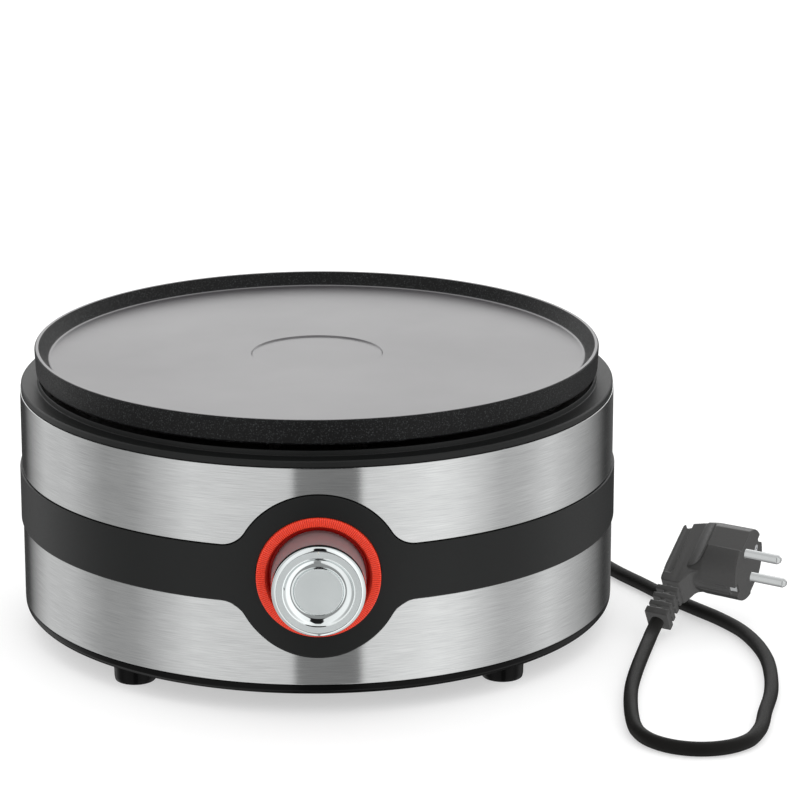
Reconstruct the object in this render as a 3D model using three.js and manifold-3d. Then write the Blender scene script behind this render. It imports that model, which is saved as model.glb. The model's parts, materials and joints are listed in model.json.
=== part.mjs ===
// Hot plate burner: a round table-top hot plate with one turning control, lying cord and plug.
// Millimetres, +Z up. The origin is on the table, on the drum's axis.
// -Y is the front, where the knob is.

import * as THREE from "three";
import { mergeVertices } from "three/addons/utils/BufferGeometryUtils.js";
import Module from "manifold-3d";

const wasm = await Module();
wasm.setup();

// ---------------------------------------------------------------- driving dimensions

const GAP = 0.3; // between pieces that touch
const SHEET = 0.8; // steel sheet thickness
const DRUM_R = 150; // outer radius of the steel bands
const FOOT_H = 9; // underside of the base plate above the table
const RIM_TOP = 15.6; // top of the base plate's black rim
const BELT_LOW = 56.2;
const BELT_HIGH = 84;
const BELT_R = 151; // the black belt stands 1 mm proud of the steel
const STEEL_TOP = 123.5;
const COLLAR_TOP = 126.9;
const LIP_TOP = 129.5;

const PLATE_R = 142.3; // hotplate's outer radius
const PLATE_LOW = 133.4; // underside of the casting
const SKIRT_LOW = 132.3; // lower edge of its outer wall
const COOK_Z = 138.4; // cooking surface
const PLATE_TOP = 144.9; // top of the raised rim
const RECESS_R = 32.6; // shallow round recess in the middle

const PANEL_R = 40.3; // round control panel in the belt
const PANEL_FILLET = 14; // where the panel's circle runs into the belt
const KNOB_Z = 70; // knob axis above the table
const KNOB_R = 22.4;
const KNOB_FACE = 173; // knob's front face, in front of the drum axis
const RING_R = 29.6; // red light ring
const SHAFT_R = 3;
const BRACKET_Y = 136; // front face of the control bracket, in front of the drum axis

const CORD_D = 7;
const GLAND_X = 30;
const GLAND_Z = 27;
const GLAND_REAR = 173; // rear end of the gland's tapered boot, as far back as the knob is forward
const COIL_R = 36; // middle of the coil's two and a half turns
const COIL = { x: GLAND_X + COIL_R, y: 204, half: 4.3, low: 1.7, high: 26.7 };
const PLUG = { x: 218.5, y: -28, z: 32.8, roll: 34, pitch: 2.6, yaw: -28 };
const PLUG_R = 18.5;
const PIN_R = 2.4;
const PIN_LONG = 19;
const PIN_APART = 19;
const TAIL_X = -33; // axis of the plug's tail behind its face
const TAIL_END = 45; // end of the strain relief from the plug's axis

const FINE = 56; // segments of the large rings
const MID = 32;
const SMALL = 12;

const DEG = Math.PI / 180;

// ---------------------------------------------------------------- materials

const look = (color, roughness, metalness) =>
  new THREE.MeshStandardMaterial({ color, roughness, metalness });

const castPlate = look(0x8f8e91, 0.6, 0.5);
const brushedSteel = look(0xb9bbba, 0.3, 1);
const plainSteel = look(0xa9abad, 0.45, 1);
const chrome = look(0xd8dadb, 0.08, 1);
const brass = look(0xc9a54c, 0.35, 1);
const copper = look(0xb8733f, 0.4, 1);
const satinBlack = look(0x2b2c2c, 0.55, 0);
const glossBlack = look(0x151515, 0.2, 0);
const cordBlack = look(0x232220, 0.65, 0);
const lampRed = look(0xe0301e, 0.35, 0);
const ceramic = look(0xe6e1d6, 0.7, 0);
const naturalPlastic = look(0xd9d6cc, 0.6, 0);
const wireBrown = look(0x5b3420, 0.6, 0);
const wireBlue = look(0x2450a0, 0.6, 0);
const wireGreen = look(0x5f9a2c, 0.6, 0);
const wireWhite = look(0xdedede, 0.6, 0);

// ---------------------------------------------------------------- geometry helpers

// One closed surface with shared vertices, no sliver faces, and its faces pointing out.
function closed(geometry) {
  geometry.deleteAttribute("normal");
  geometry.deleteAttribute("uv");
  const merged = mergeVertices(geometry, 1e-4);
  const at = merged.attributes.position;
  const old = merged.index.array;
  const corner = [new THREE.Vector3(), new THREE.Vector3(), new THREE.Vector3()];
  const faces = [];
  let volume = 0;
  for (let i = 0; i < old.length; i += 3) {
    const [a, b, c] = [old[i], old[i + 1], old[i + 2]];
    if (a === b || b === c || a === c) continue;
    faces.push(a, b, c);
    [a, b, c].forEach((v, k) => corner[k].fromBufferAttribute(at, v));
    volume += corner[0].dot(corner[1].clone().cross(corner[2]));
  }
  if (volume < 0) faces.reverse();
  merged.setIndex(faces);
  return merged;
}

// A [radius, height] profile turned about +Z.
function lathe(profile, segments = MID) {
  const points = profile.map(([r, z]) => new THREE.Vector2(r, z));
  return closed(new THREE.LatheGeometry(points, segments).rotateX(Math.PI / 2));
}

// A ring or tube: its profile closes on itself.
const ring = (profile, segments = MID) => lathe([...profile, profile[0]], segments);

// Turned about the knob's axis: each height is the distance in front of the drum axis.
const aboutKnob = (geometry) => geometry.rotateX(Math.PI / 2).translate(0, 0, KNOB_Z);

const rod = (r, low, high, segments = SMALL) =>
  lathe([[0, low], [r, low], [r, high], [0, high]], segments);

// A box from its low corner to its high corner.
function box(low, high) {
  const size = high.map((v, i) => v - low[i]);
  const middle = high.map((v, i) => (v + low[i]) / 2);
  return closed(new THREE.BoxGeometry(...size).translate(...middle));
}

// An outline of [a, b] points, extruded.
function extruded(outline, depth) {
  const shape = new THREE.Shape(outline.map(([a, b]) => new THREE.Vector2(a, b)));
  return closed(new THREE.ExtrudeGeometry(shape, { depth, bevelEnabled: false }));
}

// An outline in the X-Z plane, extruded from y = back towards the front.
const facingFront = (outline, front, back) =>
  extruded(outline, front - back).rotateX(Math.PI / 2).translate(0, -back, 0);

function circle(r, sides) {
  return Array.from({ length: sides }, (_, i) => {
    const turn = (2 * Math.PI * i) / sides;
    return new THREE.Vector2(r * Math.cos(turn), r * Math.sin(turn));
  });
}

// A round tube along a smooth curve through the points.
function tube(points, d, step, sides = 8) {
  const path = new THREE.CatmullRomCurve3(points.map((p) => new THREE.Vector3(...p)));
  const steps = Math.max(2, Math.round(path.getLength() / step));
  const section = new THREE.Shape(circle(d / 2, sides));
  return closed(
    new THREE.ExtrudeGeometry(section, { extrudePath: path, steps, bevelEnabled: false }),
  );
}

function solid(geometry) {
  const { position } = geometry.attributes;
  return new wasm.Manifold(
    new wasm.Mesh({
      numProp: 3,
      vertProperties: new Float32Array(position.array),
      triVerts: new Uint32Array(geometry.index.array),
    }),
  );
}

// The largest body of a manifold-3d solid, as a geometry.
function geometryOf(whole) {
  const body = whole.decompose().reduce((a, b) => (a.volume() > b.volume() ? a : b));
  const mesh = body.getMesh();
  return new THREE.BufferGeometry()
    .setAttribute("position", new THREE.BufferAttribute(mesh.vertProperties, 3))
    .setIndex(new THREE.BufferAttribute(mesh.triVerts, 1));
}

const cut = (geometry, ...tools) =>
  geometryOf(tools.reduce((rest, tool) => rest.subtract(solid(tool)), solid(geometry)));

const join = (...pieces) => geometryOf(pieces.map(solid).reduce((a, b) => a.add(b)));

const common = (a, b) => geometryOf(solid(a).intersect(solid(b)));

const onCircle = (r, degrees) => [r * Math.cos(degrees * DEG), r * Math.sin(degrees * DEG)];

const object = new THREE.Group();

function add(name, geometry, material, group = object) {
  const mesh = new THREE.Mesh(geometry, material);
  mesh.name = name;
  group.add(mesh);
  return mesh;
}

// ---------------------------------------------------------------- hot top

const STUDS = [30, 150, 270].map((turn) => onCircle(62, turn));
const ELEMENT_R = 88;
const ELEMENT_D = 6.5;
const ELEMENT_Z = 132.3;
const ELEMENT_ENDS = [-76, -104]; // both ends turn down at the front, above the thermostat
const SHIELD_FLOOR = 114;
const ROD_R = 142.5;
const RODS = [90, 210, 330].map((turn) => onCircle(ROD_R, turn));

add(
  "hotplate",
  lathe(
    [
      [0, PLATE_LOW],
      [ELEMENT_R - 3.7, PLATE_LOW],
      [ELEMENT_R - 3.7, PLATE_LOW + 2.6],
      [ELEMENT_R + 3.7, PLATE_LOW + 2.6],
      [ELEMENT_R + 3.7, PLATE_LOW],
      [PLATE_R - 6.3, PLATE_LOW],
      [PLATE_R - 5.5, SKIRT_LOW],
      [PLATE_R - 1.4, SKIRT_LOW],
      [PLATE_R - 0.5, SKIRT_LOW + 0.8],
      [PLATE_R, PLATE_TOP - 0.7],
      [PLATE_R - 0.7, PLATE_TOP],
      [PLATE_R - 2, PLATE_TOP],
      [PLATE_R - 2.5, PLATE_TOP - 0.5],
      [PLATE_R - 6.7, COOK_Z + 0.5],
      [PLATE_R - 7.7, COOK_Z],
      [RECESS_R + 0.6, COOK_Z],
      [RECESS_R, COOK_Z - 0.7],
      [0, COOK_Z - 0.7],
    ],
    FINE,
  ),
  castPlate,
);

function elementPath() {
  const [from, to] = [ELEMENT_ENDS[0], ELEMENT_ENDS[1] + 360];
  const onLoop = (turn) => [...onCircle(ELEMENT_R, turn), ELEMENT_Z];
  const turns = Array.from({ length: 31 }, (_, i) => from + 6 + ((to - from - 12) * i) / 30);
  const down = (turn) => [
    [...onCircle(ELEMENT_R, turn), ELEMENT_Z - 14],
    [...onCircle(ELEMENT_R, turn), ELEMENT_Z - 26],
  ];
  const bend = (turn) => [...onCircle(ELEMENT_R, turn), ELEMENT_Z - 5];
  return [
    ...down(from).reverse(),
    bend(from),
    ...turns.map(onLoop),
    bend(to),
    ...down(to),
  ];
}

add("heating_element", tube(elementPath(), ELEMENT_D, 17), plainSteel);

// Each clamp straddles the element from below and is pressed into the casting's underside.
[60, 180, 300].forEach((turn, i) => {
  const low = ELEMENT_Z - ELEMENT_D / 2 - GAP;
  const outline = [
    [-9, PLATE_LOW - GAP],
    [-9, PLATE_LOW - 1.5],
    [-4.6, PLATE_LOW - 1.5],
    [-4.6, low - 1.2],
    [4.6, low - 1.2],
    [4.6, PLATE_LOW - 1.5],
    [9, PLATE_LOW - 1.5],
    [9, PLATE_LOW - GAP],
    [3.8, PLATE_LOW - GAP],
    [3.8, low],
    [-3.8, low],
    [-3.8, PLATE_LOW - GAP],
  ];
  const clamp = add(`element_clamp_${i + 1}`, facingFront(outline, 5, -5), plainSteel);
  clamp.position.set(...onCircle(ELEMENT_R, turn), 0);
  clamp.rotation.z = turn * DEG;
});

const bulb = add("sensor_bulb", rod(3, -20, 20).rotateY(Math.PI / 2), copper);
bulb.position.set(0, -36, PLATE_LOW - 3 - GAP);

add(
  "capillary_tube",
  tube(
    [
      [20.4, -36, PLATE_LOW - 3.3],
      [30, -38, 129],
      [35, -52, 124],
      [33, -68, 112],
      [20, -84, 96],
      [8, -98, 84],
      [0, -109.5, 80],
    ],
    1.8,
    9,
    6,
  ),
  copper,
);

add(
  "thermal_fuse",
  join(
    box([34, 8, PLATE_LOW - 2], [62, 20, PLATE_LOW - GAP]),
    box([40, 8.5, PLATE_LOW - 9], [56, 19.5, PLATE_LOW - 1.8]),
  ),
  ceramic,
);

STUDS.forEach(([x, y], i) => {
  const stud = [
    [0, 108],
    [2.5, 108],
    [2.5, SHIELD_FLOOR + SHEET + GAP],
    [5, SHIELD_FLOOR + SHEET + GAP],
    [5, PLATE_LOW - GAP],
    [0, PLATE_LOW - GAP],
  ];
  const nutTop = SHIELD_FLOOR - GAP;
  const nut = [[3.3, nutTop - 4], [5, nutTop - 4], [5, nutTop], [3.3, nutTop]];
  add(`plate_standoff_${i + 1}`, lathe(stud, SMALL).translate(x, y, 0), plainSteel);
  add(`standoff_nut_${i + 1}`, ring(nut, 6).translate(x, y, 0), plainSteel);
});

add(
  "heat_shield",
  cut(
    lathe(
      [
        [0, SHIELD_FLOOR],
        [126, SHIELD_FLOOR],
        [130, STEEL_TOP - SHEET],
        [146, STEEL_TOP - SHEET],
        [146, STEEL_TOP],
        [129.3, STEEL_TOP],
        [125.3, SHIELD_FLOOR + SHEET],
        [0, SHIELD_FLOOR + SHEET],
      ],
      FINE,
    ),
    ...STUDS.map(([x, y]) => rod(2.9, 100, 130).translate(x, y, 0)),
    ...RODS.map(([x, y]) => rod(2.4, 100, 130).translate(x, y, 0)),
    ...ELEMENT_ENDS.map((turn) => {
      return rod(5, 100, 130).translate(...onCircle(ELEMENT_R, turn), 0);
    }),
    rod(7, 100, 130).translate(33.5, -67, 0), // the capillary's way down
    rod(5, 100, 130).translate(48, 36, 0), // the fuse lead's way down
  ),
  plainSteel,
);

// ---------------------------------------------------------------- body

// The steel bands' outline where they are cut round the control panel: [x, z] points of the
// panel's circle, running through fillets into the belt's edges.
function panelOutline(grow) {
  const r = PANEL_R + grow;
  const fillet = PANEL_FILLET - grow;
  const middle = (BELT_LOW + BELT_HIGH) / 2;
  const halfBelt = (BELT_HIGH - BELT_LOW) / 2 + grow;
  const rise = halfBelt + fillet;
  const reach = Math.sqrt((r + fillet) ** 2 - rise ** 2);
  const meet = Math.atan2(rise, reach);
  const quarter = [[reach + 4, 0], [reach + 4, halfBelt]];
  for (let i = 0; i <= 4; i++) {
    const turn = -Math.PI / 2 - ((Math.PI / 2 - meet) * i) / 4;
    quarter.push([reach + fillet * Math.cos(turn), rise + fillet * Math.sin(turn)]);
  }
  for (let i = 1; i <= 6; i++) {
    const turn = meet + ((Math.PI / 2 - meet) * i) / 6;
    quarter.push([r * Math.cos(turn), r * Math.sin(turn)]);
  }
  const left = quarter.slice(0, -1).reverse().map(([x, z]) => [-x, z]);
  const upper = [...quarter, ...left];
  const lower = upper.slice(1, -1).reverse().map(([x, z]) => [x, -z]);
  return [...upper, ...lower].map(([x, z]) => [x, z + middle]);
}

const panelPrism = (grow) => facingFront(panelOutline(grow), 165, 120);
const tubeWall = (inner, outer, low, high) =>
  ring([[inner, low], [outer, low], [outer, high], [inner, high]], FINE);
const glandHole = rod(6 + GAP, 130, 170, 16).rotateX(-Math.PI / 2).translate(GLAND_X, 0, GLAND_Z);

add(
  "upper_steel_band",
  cut(tubeWall(DRUM_R - SHEET, DRUM_R, BELT_HIGH, STEEL_TOP), panelPrism(GAP)),
  brushedSteel,
);
add(
  "lower_steel_band",
  cut(tubeWall(DRUM_R - SHEET, DRUM_R, RIM_TOP, BELT_LOW), panelPrism(GAP), glandHole),
  brushedSteel,
);

// The belt ring, the curved panel, and a flange that reaches behind both steel bands.
add(
  "waist_core",
  cut(
    join(
      tubeWall(145.9, BELT_R, BELT_LOW + GAP, BELT_HIGH - GAP),
      tubeWall(145.9, DRUM_R - SHEET - GAP, BELT_LOW - 8, BELT_HIGH + 8),
      common(tubeWall(145.9, BELT_R, 20, 120), panelPrism(0)),
    ),
    aboutKnob(rod(RING_R + GAP, 135, 160, MID)),
  ),
  satinBlack,
);

add(
  "collar_ring",
  cut(
    ring(
      [
        [146.4, 112],
        [DRUM_R - SHEET - GAP, 112],
        [DRUM_R - SHEET - GAP, STEEL_TOP + GAP],
        [149.5, STEEL_TOP + GAP],
        [149.5, COLLAR_TOP - 0.6],
        [148.8, COLLAR_TOP],
        [141.2, COLLAR_TOP],
        [141, LIP_TOP],
        [139.8, LIP_TOP],
        [139.6, STEEL_TOP + GAP],
        [146.4, STEEL_TOP + GAP],
      ],
      FINE,
    ),
    ...RODS.map(([x, y]) => rod(2.3, 120, COLLAR_TOP - 0.7).translate(x, y, 0)),
  ),
  satinBlack,
);

const FEET = [[-90, -97], [90, -97], [90, 97], [-90, 97]];

add(
  "base_plate",
  cut(
    lathe(
      [
        [0, FOOT_H],
        [144.5, FOOT_H],
        [147.4, FOOT_H + 0.9],
        [149.4, FOOT_H + 2.6],
        [DRUM_R, RIM_TOP - GAP],
        [DRUM_R - SHEET - GAP, RIM_TOP - GAP],
        [DRUM_R - SHEET - GAP, 24],
        [146.4, 24],
        [146.4, FOOT_H + 3],
        [0, FOOT_H + 3],
      ],
      FINE,
    ),
    ...FEET.map(([x, y]) => rod(2.3, 0, 20, 8).translate(x, y, 0)),
    ...RODS.map(([x, y]) => rod(2.4, 0, 20, 8).translate(x, y, 0)),
    ...RODS.map(([x, y]) => rod(3.6, 0, 10.8, 8).translate(x, y, 0)),
    glandHole,
  ),
  glossBlack,
);

FEET.forEach(([x, y], i) => {
  const foot = [
    [2.4, 4],
    [5.4, 4],
    [5.4, 0],
    [9, 0],
    [10.5, 1.5],
    [10.5, FOOT_H - GAP],
    [2.4, FOOT_H - GAP],
  ];
  const screw = [[0, 1.5], [4.2, 1.5], [4.2, 3.7], [2, 3.7], [2, 17], [0, 17]];
  add(`foot_${i + 1}`, ring(foot, 16).translate(x, y, 0), glossBlack);
  add(`foot_screw_${i + 1}`, lathe(screw, 8).translate(x, y, 0), plainSteel);
});

// Each tie rod's head lies in a counterbore under the base plate.
RODS.forEach(([x, y], i) => {
  const head = FOOT_H + 0.2;
  const top = COLLAR_TOP - 1;
  const long = [[0, head], [3.3, head], [3.3, head + 1.3], [2, head + 1.3], [2, top], [0, top]];
  add(`tie_rod_${i + 1}`, lathe(long, 8).translate(x, y, 0), plainSteel);
});

const FLOOR = FOOT_H + 3 + GAP; // where pieces stand on the base plate

add(
  "cord_gland",
  ring(
    [
      [CORD_D / 2 + GAP, 138],
      [6, 138],
      [6, 149.2],
      [8.5, 149.2],
      [8.5, 151.8],
      [6.6, 152.6],
      [4.7, GLAND_REAR],
      [CORD_D / 2 + GAP, GLAND_REAR],
    ],
    16,
  )
    .rotateX(-Math.PI / 2)
    .translate(GLAND_X, 0, GLAND_Z),
  cordBlack,
);

const CLAMP = { x: GLAND_X, y: 84 };
const CLAMP_Z = FLOOR + 6.5;
add(
  "cord_clamp",
  cut(
    box([CLAMP.x - 17, CLAMP.y - 6, FLOOR], [CLAMP.x + 17, CLAMP.y + 6, FLOOR + 13]),
    rod(CORD_D / 2 + GAP, -20, 20).rotateX(Math.PI / 2).translate(CLAMP.x, CLAMP.y, CLAMP_Z),
    ...[-12, 12].map((side) => rod(2.3, 0, 40, 8).translate(CLAMP.x + side, CLAMP.y, 0)),
  ),
  naturalPlastic,
);
[-12, 12].forEach((side, i) => {
  const head = FLOOR + 13 + GAP;
  const screw = [[0, FLOOR], [2, FLOOR], [2, head], [4, head], [4, head + 2.2], [0, head + 2.2]];
  const place = [CLAMP.x + side, CLAMP.y, 0];
  add(`cord_clamp_screw_${i + 1}`, lathe(screw, 8).translate(...place), plainSteel);
});

const BLOCK = { x: -14, y: 44 };
add(
  "terminal_block",
  cut(
    box([BLOCK.x - 20, BLOCK.y - 9, FLOOR], [BLOCK.x + 20, BLOCK.y + 9, FLOOR + 16]),
    ...[-12, 0, 12].map((side) => {
      return rod(2.6, -30, 30, 8).rotateX(Math.PI / 2).translate(BLOCK.x + side, BLOCK.y, 22);
    }),
  ),
  ceramic,
);

// ---------------------------------------------------------------- control

const BRACKET_HALF = 27;
add(
  "control_bracket",
  cut(
    join(
      box([-BRACKET_HALF, -BRACKET_Y, FLOOR], [BRACKET_HALF, 1.5 - BRACKET_Y, 100]),
      box([-BRACKET_HALF, -BRACKET_Y, FLOOR], [BRACKET_HALF, 22 - BRACKET_Y, FLOOR + 1.5]),
    ),
    aboutKnob(rod(5 + GAP, 120, 150, 16)),
  ),
  plainSteel,
);

const BODY_FRONT = BRACKET_Y - 1.5 - GAP;
add(
  "thermostat_body",
  cut(
    join(
      box([-21, -BODY_FRONT, 50], [21, 24 - BODY_FRONT, 92]),
      aboutKnob(rod(5, BODY_FRONT - 2, BRACKET_Y + 6.5, 16)),
    ),
    aboutKnob(rod(SHAFT_R + GAP, BODY_FRONT - 12, 150, 16)),
  ),
  naturalPlastic,
);

const nutBack = BRACKET_Y + GAP;
add(
  "thermostat_nut",
  aboutKnob(ring([[6.3, nutBack], [9, nutBack], [9, nutBack + 3], [6.3, nutBack + 3]], 6)),
  brass,
);

add(
  "light_ring",
  aboutKnob(
    ring(
      [
        [6, 144],
        [RING_R, 144],
        [RING_R, 151.7],
        [RING_R - 0.5, 152.2],
        [25.4, 152.2],
        [24, 148.8],
        [23.4, 146],
        [6, 146],
      ],
      40,
    ),
  ),
  lampRed,
);
add(
  "indicator_lamp",
  rod(3, BRACKET_Y + GAP, 143.6).rotateX(Math.PI / 2).translate(0, 0, KNOB_Z + 17),
  lampRed,
);

// The four pieces below turn together.
const SHAFT_TIP = 166;
add(
  "thermostat_shaft",
  cut(
    aboutKnob(rod(SHAFT_R, BODY_FRONT - 11, SHAFT_TIP, 16)),
    box([-4, -170, KNOB_Z + 1.6], [4, -151, KNOB_Z + 5]),
  ),
  plainSteel,
);
add("knob_spring_clip", box([-1.5, -164, KNOB_Z + 1.95], [1.5, -152, KNOB_Z + 2.6]), plainSteel);
add(
  "knob_hub",
  aboutKnob(
    lathe(
      [
        [0, KNOB_FACE - 4.2],
        [KNOB_R - 2, KNOB_FACE - 4.2],
        [KNOB_R - 1.3, KNOB_FACE - 6],
        [KNOB_R - 1.3, KNOB_FACE - 15],
        [9, KNOB_FACE - 15],
        [9, 148.5],
        [SHAFT_R + GAP, 148.5],
        [SHAFT_R + GAP, SHAFT_TIP + GAP],
        [0, SHAFT_TIP + GAP],
      ],
      MID,
    ),
  ),
  glossBlack,
);
add(
  "knob_shell",
  aboutKnob(
    lathe(
      [
        [0, KNOB_FACE - 1],
        [11.5, KNOB_FACE - 1],
        [12, KNOB_FACE - 2.2],
        [13.6, KNOB_FACE - 2.3],
        [16.8, KNOB_FACE],
        [20.4, KNOB_FACE],
        [KNOB_R - 0.4, KNOB_FACE - 1.4],
        [KNOB_R, KNOB_FACE - 3.4],
        [KNOB_R, 147.4],
        [KNOB_R - 1, 147.4],
        [KNOB_R - 1, KNOB_FACE - 4],
        [KNOB_R - 2, KNOB_FACE - 3.6],
        [0, KNOB_FACE - 3.6],
      ],
      40,
    ),
  ),
  chrome,
);

// ---------------------------------------------------------------- wires inside

const wire = (name, points, material) => add(name, tube(points, 2.2, 12, 6), material);

const liveRoute = [[-26, 30, 22], [-34, -10, 24], [-34, -60, 34], [-24, -100, 52], [-15, -108, 58]];
const neutralRoute = [[-14, 30, 22], [14, 0, 34], [40, 14, 70], [48, 34, 100], [48, 36, 122]];
const elementRoute = [[15, -107, 84], [20, -98, 92], [22, -88, 98], [21.3, -85.4, 105]];
const earthRoute = [[-2, 30, 22], [10, -10, 19], [14, -70, 18], [12, -110, 17]];
wire("live_wire", liveRoute, wireBrown);
wire("neutral_wire", neutralRoute, wireBlue);
wire("element_wire", elementRoute, wireWhite);
wire("earth_wire", earthRoute, wireGreen);

// ---------------------------------------------------------------- cord, coil and plug

// From the terminal block through the clamp and the gland, and down into the coil's side.
const ringOf = (grow) =>
  ring(
    [
      [COIL_R - COIL.half - grow, COIL.low - grow],
      [COIL_R + COIL.half + grow, COIL.low - grow],
      [COIL_R + COIL.half + grow, COIL.high + grow],
      [COIL_R - COIL.half - grow, COIL.high + grow],
    ],
    36,
  ).translate(COIL.x, COIL.y, 0);

const coilRight = COIL.x + COIL_R;

add(
  "cord_lead",
  cut(
    tube(
      [
        [CLAMP.x, 64, CLAMP_Z],
        [CLAMP.x, 76, CLAMP_Z],
        [CLAMP.x, 92, CLAMP_Z],
        [GLAND_X, 112, (CLAMP_Z + GLAND_Z) / 2],
        [GLAND_X, 132, GLAND_Z],
        [GLAND_X, 146, GLAND_Z],
        [GLAND_X, 162, GLAND_Z],
        [GLAND_X, 175, GLAND_Z],
        [GLAND_X, 189, 25],
        [GLAND_X, COIL.y, 23],
      ],
      CORD_D,
      14,
    ),
    ringOf(GAP),
  ),
  cordBlack,
);
add("cord_coil", ringOf(0), cordBlack);

const tieHole = [COIL.half + GAP, COIL.low - GAP, COIL.high + GAP];
const coilTie = add(
  "coil_tie",
  cut(
    box([-tieHole[0] - 1, -3, tieHole[1] - 1.1], [tieHole[0] + 1, 3, tieHole[2] + 1.1]),
    box([-tieHole[0], -5, tieHole[1]], [tieHole[0], 5, tieHole[2]]),
  ),
  cordBlack,
);
coilTie.position.set(COIL.x, COIL.y + COIL_R, 0);
coilTie.rotation.z = Math.PI / 2;

// The plug's own frame: +X along its pins, -Y along its tail, the origin at its face.
const plug = new THREE.Group();
plug.position.set(PLUG.x, PLUG.y, PLUG.z);
plug.rotation.set(PLUG.roll * DEG, PLUG.pitch * DEG, PLUG.yaw * DEG, "ZYX");
plug.updateMatrix();
object.add(plug);

// A point on the tail's axis, that far from the plug's own.
const onTail = (far) => new THREE.Vector3(TAIL_X, -far, 0).applyMatrix4(plug.matrix).toArray();

const ON_TABLE = CORD_D / 2 + 0.1;
// The loop in front of the plug: half a turn about its own centre.
const LOOP = { x: 178, y: -177.6, r: 29 };
const loopAt = (degrees) => [
  LOOP.x + LOOP.r * Math.cos(degrees * DEG),
  LOOP.y + LOOP.r * Math.sin(degrees * DEG),
];
// Points on the table from the coil to the loop, round it, and back towards the plug.
const lying = [
  [112, 155],
  [125, 126],
  [137, 98],
  [148, 70],
  [158, 48],
  [169.5, 28],
  [181, 7.5],
  [192.5, -9.5],
  [205, -28],
  [213.5, -45],
  [218.3, -62],
  [221.3, -84],
  [220.8, -110],
  [218, -134],
  [212.5, -158],
  ...[-14, -40, -66, -92, -118, -144, -170].map(loopAt),
  [148.6, -176],
  [148.4, -164],
  [149.2, -146],
  [151.2, -126],
  [154.7, -106],
  [159.2, -85],
  [162.4, -71],
];
const route = [
  [coilRight, COIL.y, 5.4],
  [101.9, 192, 4.9],
  [103.8, 178, 4.1],
  ...lying.map(([x, y]) => [x, y, ON_TABLE]),
  [164.6, -61.6, 3.6],
  [165.8, -57.1, 3.95],
  [167.2, -52.7, 5],
  [168.9, -48.7, 6.7],
  onTail(TAIL_END + 1.7 * GAP),
];
add("power_cord", cut(tube(route, CORD_D, 17), ringOf(GAP)), cordBlack);

// The moulded grip behind the round body, in its own X-Y outline.
const grip = [
  [-24, 15],
  [-36, 11.5],
  [-39, 11.5],
  [-39, -16],
  [-37.3, -26],
  [-26.7, -26],
  [-24, -17],
];
const GRIP_HALF = 9;
const CLIP_HALF = 2.7;
const POCKET = CLIP_HALF + 0.5;
const SLEEVE = { y: 11, inner: 1.75, outer: 2.35, long: 12 }; // takes a socket's earth pin
const tailAt = (from, to, half) =>
  box([TAIL_X - half, -to, -half], [TAIL_X + half, -from, half]);
const alongX = (geometry) => geometry.rotateY(Math.PI / 2);
const bothSides = (piece) => [-1, 1].map(piece);
add(
  "plug_body",
  cut(
    join(
      alongX(lathe([[0, -27], [16.6, -27], [18.1, -25.8], [PLUG_R, 0], [0, 0]], MID)),
      extruded(grip, 2 * GRIP_HALF).translate(0, 0, -GRIP_HALF),
      tailAt(25, TAIL_END, 4.2),
      ...[0, 1, 2].map((i) => tailAt(26.5 + 5 * i, 29.5 + 5 * i, 5.9)),
      tailAt(41, TAIL_END, 6.2),
    ),
    // a hollow on each side of the body for a finger, and a groove before the grip's flange
    ...bothSides((side) => rod(12.5, -30, 30, 20).rotateX(Math.PI / 2).translate(-30, 0, side * 21)),
    ...bothSides((side) => box([-37, -20, side * 9.2 - 3.7], [-33.6, 17, side * 9.2 + 3.7])),
    // the stepped flats, the earth clips' pockets, and the holes for the pins and the sleeve
    ...bothSides((side) => box([-28, -4.6, side * 18.9 - 2.7], [1, 12, side * 18.9 + 2.7])),
    ...bothSides((side) => box([-21, side * 16 - 1.2, -POCKET], [1, side * 16 + 1.2, POCKET])),
    ...bothSides((side) => box([-3.5, side * 17 - 2.2, -POCKET], [1, side * 17 + 2.2, POCKET])),
    ...bothSides((side) => {
      return alongX(rod(PIN_R + GAP, -7, 2)).translate(0, 0, (side * PIN_APART) / 2);
    }),
    alongX(rod(SLEEVE.outer + GAP, -15, 2)).translate(0, SLEEVE.y, 0),
  ),
  cordBlack,
  plug,
);
[-1, 1].forEach((side, i) => {
  const tip = PIN_LONG;
  const pin = [[0, -6.6], [PIN_R, -6.6], [PIN_R, tip - 1.6], [1.4, tip - 0.3], [0, tip]];
  const sideways = (side * PIN_APART) / 2;
  add(`plug_pin_${i + 1}`, alongX(lathe(pin, SMALL)).translate(0, 0, sideways), chrome, plug);
  const low = [-20.6, side * 16 - 0.9, -CLIP_HALF];
  add(`plug_earth_clip_${i + 1}`, box(low, [-0.8, side * 16 + 0.9, CLIP_HALF]), plainSteel, plug);
});
const sleeveWall = [
  [SLEEVE.inner, -SLEEVE.long],
  [SLEEVE.outer, -SLEEVE.long],
  [SLEEVE.outer, -0.2],
  [SLEEVE.inner, -0.2],
];
const sleeve = alongX(ring(sleeveWall, SMALL)).translate(0, SLEEVE.y, 0);
add("plug_earth_sleeve", sleeve, plainSteel, plug);

export default object;
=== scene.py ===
import json
import math

import bmesh
import bpy
from mathutils import Matrix, Vector


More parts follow.
